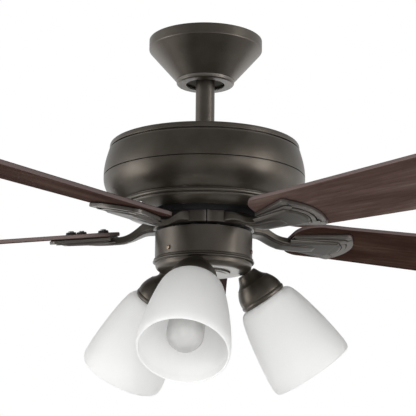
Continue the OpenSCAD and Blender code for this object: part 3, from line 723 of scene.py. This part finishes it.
ARM_SIDES, ARM_SQUARENESS = 36, 0.27
HUB_LOW, HUB_HALF_ANGLE = -276, 35.4
IRON_SCREW_RADIUS, IRON_SCREW_TURN = 57, 18
MIDDLE_TIER_LOW, PANEL_DEPTH, PANEL_SLOPE, PANEL_START = -10.6, 3.9, 0.03, 130


def plate_edge(r0, w0, r1, w1, corner, front, bow, steps=12):
    """Half outline of one shield-shaped tier, from its back corner to the middle of its nose."""
    flank = math.degrees(math.atan2(w1 - w0, r1 - r0))
    shoulder = arc(r1, w1 - corner, corner, 90 + flank, 12, steps)
    nose = curve(
        (front - bow, w1 - corner), (front - bow * 0.35, w1 * 0.55), (front, w1 * 0.3), (front, 0), 14
    )
    return [(r0, 0.0), (r0, w0)] + shoulder + nose


def loft(rings):
    """A solid through rings of (half outline, distance outward, height or a function of x), with caps."""
    verts, faces = [], []
    size = half = 0
    for edge, outward, height in rings:
        full = edge + [(x, -y) for x, y in edge[-2:0:-1]]
        size, half = len(full), len(edge) - 1
        middle = Vector((sum(p[0] for p in full) / size, 0))
        for i, p in enumerate(full):
            d = (Vector(full[(i + 1) % size]) - Vector(full[i - 1])).normalized()
            n = Vector((-d.y, d.x))
            if n.dot(Vector(p) - middle) < 0:
                n = -n
            z = height(p[0]) if callable(height) else height
            verts.append((p[0] + n.x * outward, p[1] + n.y * outward, z))
    for k in range(len(rings) - 1):
        for i in range(size):
            j = (i + 1) % size
            faces.append((k * size + i, k * size + j, (k + 1) * size + j, (k + 1) * size + i))
    for base in (0, (len(rings) - 1) * size):
        for i in range(1, half):
            a, b = base + i, base + i + 1
            c, d = base + (size - i) % size, base + (size - i - 1) % size
            faces.append((a, b, d, c) if b != d else (a, b, c))
        faces.append((base, base + 1, base + size - 1))
    return verts, faces


def arm_part(narrower=0.0, lower=0.0):
    """The cast arm: rounded oblong sections swept from the hub to the plate, turning to the blade's pitch."""
    # Distance out, height, width, thickness and roll of each section
    path = [
        (62.0, -267.8, 41.0, 16.2, 0.0), (70.0, -268.0, 40.0, 15.8, 0.3), (78.0, -268.9, 37.0, 14.6, 1.0),
        (84.0, -270.7, 34.0, 12.3, 2.2), (90.0, -273.3, 31.0, 10.2, 4.0), (97.0, -276.9, 28.6, 9.4, 6.5),
        (104.0, -280.1, 27.0, 9.3, 9.0), (111.0, -282.2, 26.2, 9.5, 11.2),
        (118.0, -283.5, 26.0, 10.0, BLADE_PITCH), (134.0, -284.4, 26.4, 9.2, BLADE_PITCH),
        (150.0, -285.0, 26.4, 7.8, BLADE_PITCH), (166.0, -285.2, 20.0, 5.2, BLADE_PITCH),
    ]
    dense = []
    for i in range(len(path) - 1):
        p = [path[max(i - 1, 0)], path[i], path[i + 1], path[min(i + 2, len(path) - 1)]]
        for k in range(4):
            t = k / 4
            dense.append(tuple(
                0.5 * (2 * b + (c - a) * t + (2 * a - 5 * b + 4 * c - d) * t * t
                       + (3 * b - a - 3 * c + d) * t ** 3)
                for a, b, c, d in zip(*p)
            ))
    dense.append(path[-1])
    verts, faces = [], []
    for i, (r, z, w, h, roll) in enumerate(dense):
        a, b = dense[max(i - 1, 0)], dense[min(i + 1, len(dense) - 1)]
        slope = math.atan2(b[1] - a[1], b[0] - a[0])
        at = shift(r, 0, z) @ turn(-math.degrees(slope), "Y") @ turn(-roll, "X") @ shift(0, 0, -lower)
        for k in range(ARM_SIDES):
            angle = 2 * math.pi * (k + 0.5) / ARM_SIDES
            c, s = math.cos(angle), math.sin(angle)
            y = (w - narrower) / 2 * math.copysign(abs(c) ** ARM_SQUARENESS, c)
            v = h / 2 * math.copysign(abs(s) ** ARM_SQUARENESS, s)
            verts.append(tuple(at @ Vector((0, y, v))))
    for i in range(len(dense) - 1):
        for k in range(ARM_SIDES):
            j = (k + 1) % ARM_SIDES
            a, b = i * ARM_SIDES, (i + 1) * ARM_SIDES
            faces.append((a + k, a + j, b + j, b + k))
    faces.append(tuple(range(ARM_SIDES)))
    faces.append(tuple(range((len(dense) - 1) * ARM_SIDES, len(dense) * ARM_SIDES)))
    return verts, faces


def hub_part():
    """The iron's root: a sector of a ring with a rounded rim."""
    profile = rounded([(44, -259.6, 0.6), (70, -259.6, 1.2), (70, HUB_LOW, 1.6), (44, HUB_LOW, 0.6)], 22)
    steps = 26
    count = len(profile)
    verts = [
        (r * math.cos(a), r * math.sin(a), z)
        for a in (math.radians(HUB_HALF_ANGLE * (2 * k / steps - 1)) for k in range(steps + 1))
        for r, z in profile
    ]
    faces = []
    for k in range(steps):
        a, b = k * count, (k + 1) * count
        faces += [(a + i, b + i, b + (i + 1) % count, a + (i + 1) % count) for i in range(count)]
    faces.append(tuple(range(count)))
    faces.append(tuple(range(steps * count, (steps + 1) * count)))
    recesses = joined([
        moved(rod_part(4.4, -3, 3, 28), turn(a) @ shift(IRON_SCREW_RADIUS, 0, HUB_LOW))
        for a in (-IRON_SCREW_TURN, IRON_SCREW_TURN)
    ])
    return carved((verts, faces), recesses)


def panel_height(share):
    """Height of the sloping middle panel's side, as a share of its depth below the middle tier."""
    return lambda x: MIDDLE_TIER_LOW - share * (PANEL_DEPTH - PANEL_SLOPE * (x - PANEL_START))


def plate_part():
    """The iron's stepped plate, with a fine groove at the foot of each step."""
    outer = plate_edge(130, 19, 203, 41, 8, 223.5, 12)
    middle = plate_edge(128, 17, 201, 30.5, 7, 213.5, 10)
    inner = plate_edge(124, 16, 192, 23, 6, 207, 8)
    return loft([
        (outer, -2.2, -2.8), (outer, -2.0, -3.6), (outer, 0.0, -4.6), (outer, 0.0, -7.8), (outer, -0.3, -8.6),
        (outer, -1.0, -9.0),
        (middle, 1.5, -9.0), (middle, 1.1, -8.6), (middle, 0.9, -7.6), (middle, 0.2, -7.6),
        (middle, 0.0, -9.2), (middle, -0.2, -10.3), (middle, -0.9, MIDDLE_TIER_LOW),
        (inner, 1.4, MIDDLE_TIER_LOW), (inner, 1.0, -10.2), (inner, 0.8, -9.3), (inner, 0.2, -9.3),
        (inner, 0.0, -10.8),
        (inner, -0.3, panel_height(0.25)), (inner, -2.6, panel_height(0.85)),
        (inner, -3.2, panel_height(0.96)), (inner, -4.0, panel_height(1.0)),
    ])


PLATE = plate_part()
IRON = joined([hub_part(), arm_part(), arm_part(7.0, 1.1), moved(PLATE, BLADE_FRAME)])

HOLES = ((186, 22), (186, -22), (146, 0))
GROMMET_T = 3.6
GROMMET = lathe(rounded([
    (2.7, 0), (7.5, 0, 0.5), (7.5, 1.2, 0.3), (7.0, 1.6, 0.3), (7.3, 2.2, 0.4),
    (6.6, GROMMET_T, 1.0), (3.4, GROMMET_T, 0.4), (2.7, 2.6),
]), SMALL_ROUND)
BLADE_SCREW = joined([
    moved(slotted_head(4.2, 1.8, 1.0, 0.9), shift(0, 0, GROMMET_T)),
    rod_part(2.4, -8.3, GROMMET_T),
])

# Where each grommet sits, and how far its screw is turned
HOLE_PLACES = []
for i in range(BLADE_COUNT):
    label = str(i + 1)
    at = turn(FIRST_TURN + 360 / BLADE_COUNT * i)
    piece("iron_casting_" + label, IRON, "bronze", "rotor", ["blade_iron_" + label], at, material=CAST_BRONZE)
    blade = piece("blade_board_" + label, BOARD, "walnut", "rotor", ["blade_" + label],
                  at @ BLADE_FRAME, sharp=50)
    blade.pass_index = INDEX_STEP * i + FIRST_INDEX
    for k, (x, y) in enumerate(HOLES):
        HOLE_PLACES.append((at @ BLADE_FRAME @ shift(x, y, BLADE_T / 2), 40 * i + 25 * k))

piece("blade_grommet_set", joined([moved(GROMMET, m) for m, _ in HOLE_PLACES]),
      "rubber_pad", "rotor", ["blade_grommets"])
piece("blade_screw_set", joined([moved(BLADE_SCREW, m @ turn(a)) for m, a in HOLE_PLACES]),
      "steel", "rotor", ["blade_screws"])

# ---- Floor, world and lights ----

FLOOR_Z, FLOOR_HALF = -7.0, 40
floor_mesh = bpy.data.meshes.new("floor")
floor_mesh.from_pydata(
    [(x * FLOOR_HALF, y * FLOOR_HALF, FLOOR_Z) for x, y in ((-1, -1), (1, -1), (1, 1), (-1, 1))],
    [], [(0, 1, 2, 3)],
)
floor = bpy.data.objects.new("floor", floor_mesh)
pale = Surface("pale_floor", Roughness=0.8)
pale_cloud = pale.noise(pale.coords(), 0.6)
floor_mesh.materials.append(pale.use(
    Base_Color=pale.ramp(pale_cloud, (0.3, (0.80, 0.80, 0.80)), (0.7, (0.84, 0.84, 0.84)))
))
bpy.context.scene.collection.objects.link(floor)
floor.visible_glossy = False
floor.visible_diffuse = False
floor.visible_transmission = False

world = bpy.data.worlds.new("studio")
bpy.context.scene.world = world
world.use_nodes = True
world_tree = world.node_tree
background = world_tree.nodes["Background"]
background.inputs["Color"].default_value = (1, 1, 1, 1)


def sky():
    """White to the camera; as light, dim from the viewer's side and bright from the sides, back and below."""
    def node(kind, settings=None, **sockets):
        made = world_tree.nodes.new("ShaderNode" + kind)
        for key, value in (settings or {}).items():
            setattr(made, key, value)
        for key, value in sockets.items():
            socket = made.inputs[key.replace("_", " ")]
            if isinstance(value, bpy.types.NodeSocket):
                world_tree.links.new(value, socket)
            else:
                socket.default_value = value
        return made

    axes = node("SeparateXYZ", Vector=node("TexCoord").outputs["Generated"])

    def band(axis, start, end, low, high):
        """Goes smoothly from low to high as the ray's direction along one axis goes from start to end."""
        return node(
            "MapRange", {"interpolation_type": "SMOOTHSTEP"}, Value=axes.outputs[axis],
            From_Min=start, From_Max=end, To_Min=low, To_Max=high,
        ).outputs[0]

    def combined(operation, a, b):
        """Two values added or multiplied."""
        both = node("Math", {"operation": operation})
        world_tree.links.new(a, both.inputs[0])
        world_tree.links.new(b, both.inputs[1])
        return both.outputs[0]

    front = band("Y", -0.85, 0.35, 0.28, 0.82)
    above = band("Z", 0.12, 0.7, 1.0, 0.4)
    nadir = band("Z", -0.3, -0.75, 1.0, 0.4)
    below = band("Z", 0.03, -0.2, 0.0, 0.6)
    deep = band("Z", -0.2, -0.5, 1.0, 0.35)
    rear = band("Y", -0.3, 0.3, 0.1, 1.0)
    round_about = combined("MULTIPLY", combined("MULTIPLY", front, above), nadir)
    rear_below = combined("MULTIPLY", combined("MULTIPLY", below, deep), rear)
    strength = node("Mix", {"data_type": "FLOAT"})
    world_tree.links.new(node("LightPath").outputs["Is Camera Ray"], strength.inputs[0])
    world_tree.links.new(combined("ADD", round_about, rear_below), strength.inputs[2])
    strength.inputs[3].default_value = 1.0
    world_tree.links.new(strength.outputs[0], background.inputs["Strength"])


sky()

# Name, place, the point it faces, size, watts, and the kind of bounce that doesn't see it
LIGHTS = (
    ("left_softbox", (-2.2, -0.3, -0.6), (0, 0, -0.25), (0.9, 1.8), 14, "diffuse"),
    ("right_softbox", (2.1, -0.95, -0.3), (0, 0, -0.25), (0.7, 1.8), 18, "diffuse"),
    ("right_strip", (1.45, -1.8, -0.45), (0, 0, -0.25), (0.35, 1.6), 6, "diffuse"),
    ("front_fill", (0.3, -3.2, -0.9), (0, 0, -0.4), (3.0, 3.0), 122, "glossy"),
    ("upper_left_fill", (-2.2, -1.7, 0.5), (0, 0, -0.35), (1.6, 1.6), 46, "glossy"),
    ("under_fill", (0.1, -0.5, -2.0), (0, 0, -0.4), (1.4, 1.4), 7, "glossy"),
    ("rear_strip", (0, 2.9, -0.95), (0, 0, -0.1), (1.6, 0.35), 2.5, "diffuse"),
    ("floor_light", (0, 0, -2.5), (0, 0, FLOOR_Z), (14, 14), 8000, None),
)
for name, place, aim, size, watts, unseen in LIGHTS:
    data = bpy.data.lights.new(name, "AREA")
    data.shape = "RECTANGLE"
    data.size, data.size_y = size
    data.energy = watts
    light = bpy.data.objects.new(name, data)
    light.location = place
    light.rotation_euler = (Vector(aim) - Vector(place)).to_track_quat("-Z", "Y").to_euler()
    light.visible_diffuse = unseen != "diffuse"
    light.visible_glossy = unseen != "glossy"
    light.visible_camera = False
    bpy.context.scene.collection.objects.link(light)

bpy.context.scene.view_settings.view_transform = "Standard"
